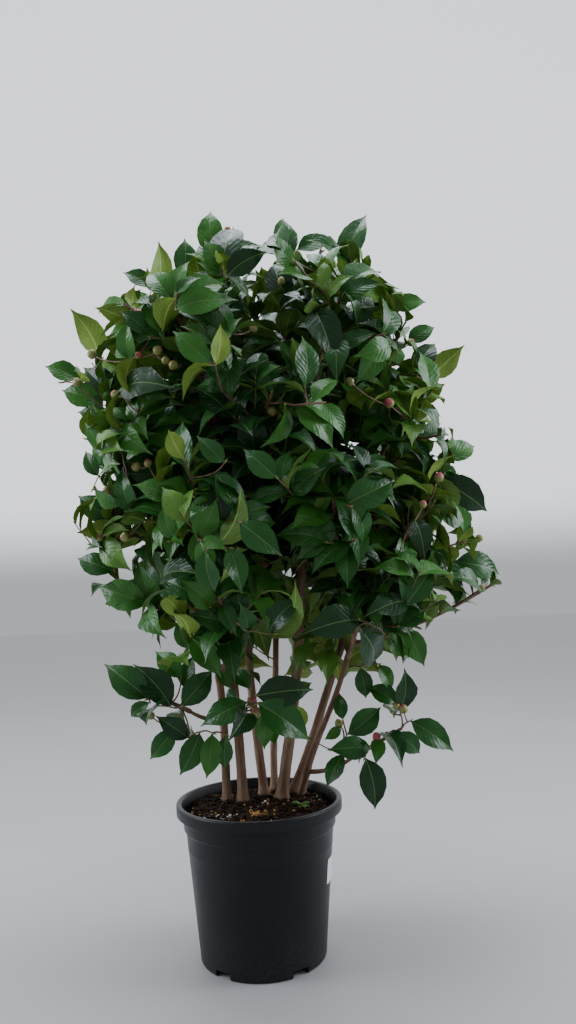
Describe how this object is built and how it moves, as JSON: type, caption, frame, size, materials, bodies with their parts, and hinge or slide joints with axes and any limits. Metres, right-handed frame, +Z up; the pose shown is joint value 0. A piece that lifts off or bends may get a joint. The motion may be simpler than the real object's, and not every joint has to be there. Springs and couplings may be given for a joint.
{
  "type": "potted evergreen shrub",
  "caption": "Bushy broad-leaved evergreen shrub with flower buds, on slender stems rising from a round black nursery pot with a rolled rim.",
  "frame": {"origin": "centre of the pot's flat underside, on the surface the pot stands on", "axes": "+Z up along the stems; -Y is the front of the shrub, +X its right side as seen from the front"},
  "size_m": [0.7848, 0.6325, 1.2442],
  "materials": {
    "pot_plastic": "dull black plastic, faintly dusty",
    "potting_mix": "loose composted bark",
    "blank_label": "blank white card",
    "bark": "thin, finely ridged grey-brown bark",
    "foliage": "glossy dark green leaves with a paler underside"
  },
  "bodies": {
    "root": {"pot": "pot_plastic", "potting_mix": "potting_mix", "label": "blank_label", "stem_left": "bark", "stem_left_inner": "bark", "stem_middle": "bark", "stem_back": "bark", "stem_right_inner": "bark", "stem_right": "bark", "stem_right_outer": "bark", "bough_low_left": "bark", "bough_low_right": "bark", "bough_low_middle": "bark", "bough_skirt_5": "bark", "bough_skirt_6": "bark", "bough_waist_5": "bark", "bough_waist_6": "bark", "bough_belly_3": "bark", "bough_belly_5": "bark", "bough_belly_6": "bark", "bough_shoulder_2": "bark", "bough_shoulder_3": "bark", "bough_shoulder_5": "bark", "bough_shoulder_6": "bark", "bough_peak_1": "bark", "foliage_skirt_1": "foliage", "foliage_skirt_2": "foliage", "foliage_skirt_3": "foliage", "foliage_skirt_4": "foliage", "foliage_skirt_5": "foliage", "foliage_skirt_6": "foliage", "foliage_waist_1": "foliage", "foliage_waist_2": "foliage", "foliage_waist_3": "foliage", "foliage_waist_4": "foliage", "foliage_waist_5": "foliage", "foliage_waist_6": "foliage", "foliage_waist_7": "foliage", "foliage_belly_1": "foliage", "foliage_belly_2": "foliage", "foliage_belly_3": "foliage", "foliage_belly_4": "foliage", "foliage_belly_5": "foliage", "foliage_belly_6": "foliage", "foliage_shoulder_1": "foliage", "foliage_shoulder_2": "foliage", "foliage_shoulder_3": "foliage", "foliage_shoulder_4": "foliage", "foliage_shoulder_5": "foliage", "foliage_shoulder_6": "foliage", "foliage_cap_1": "foliage", "foliage_cap_2": "foliage", "foliage_cap_3": "foliage", "foliage_cap_4": "foliage", "foliage_peak_1": "foliage", "foliage_low_left": "foliage", "foliage_low_right": "foliage", "foliage_low_middle": "foliage"}
  },
  "joints": []
}
